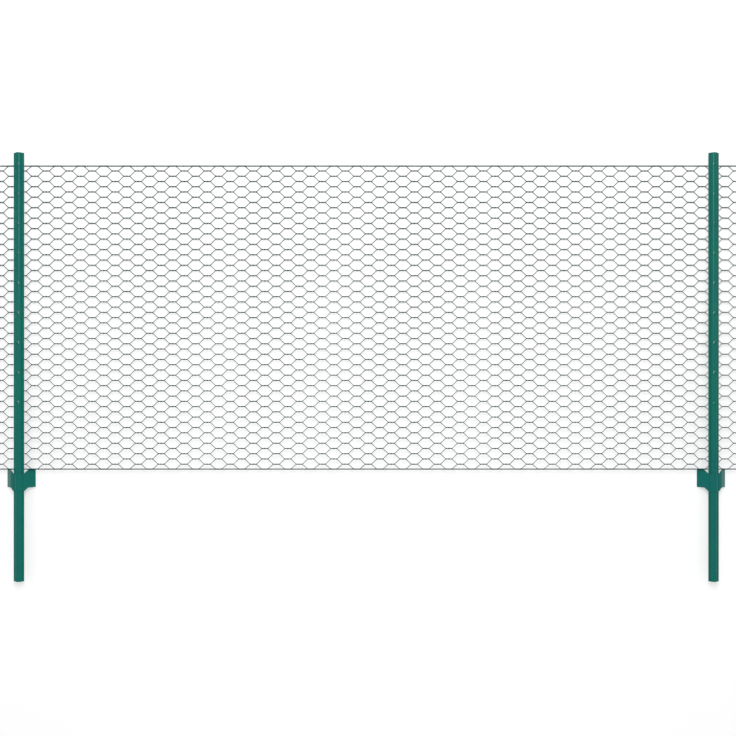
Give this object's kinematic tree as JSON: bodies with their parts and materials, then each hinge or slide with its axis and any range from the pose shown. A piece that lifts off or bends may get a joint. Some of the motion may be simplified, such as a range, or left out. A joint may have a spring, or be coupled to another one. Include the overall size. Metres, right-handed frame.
{
  "type": "hexagonal wire netting fence",
  "caption": "Low garden fence bay: coated steel U posts with hooks and anchor plates, joined by hexagonal wire netting.",
  "frame": {"origin": "middle of the lying fence's bounding box, on the floor it lies on", "axes": "+X along the fence, to the right as seen from its front; +Y up the posts; +Z out of the fence's front, which is up as it lies"},
  "size_m": [2.507, 1.413, 0.0483],
  "materials": {
    "post_coating": "semi-gloss green powder coat on rolled steel",
    "netting_coating": "satin dark green-grey coat on twisted steel wire"
  },
  "bodies": {
    "root": {"left_post": "post_coating", "left_anchor_plate": "post_coating", "right_post": "post_coating", "right_anchor_plate": "post_coating", "netting_1": "netting_coating", "netting_2": "netting_coating", "netting_3": "netting_coating"}
  },
  "joints": []
}
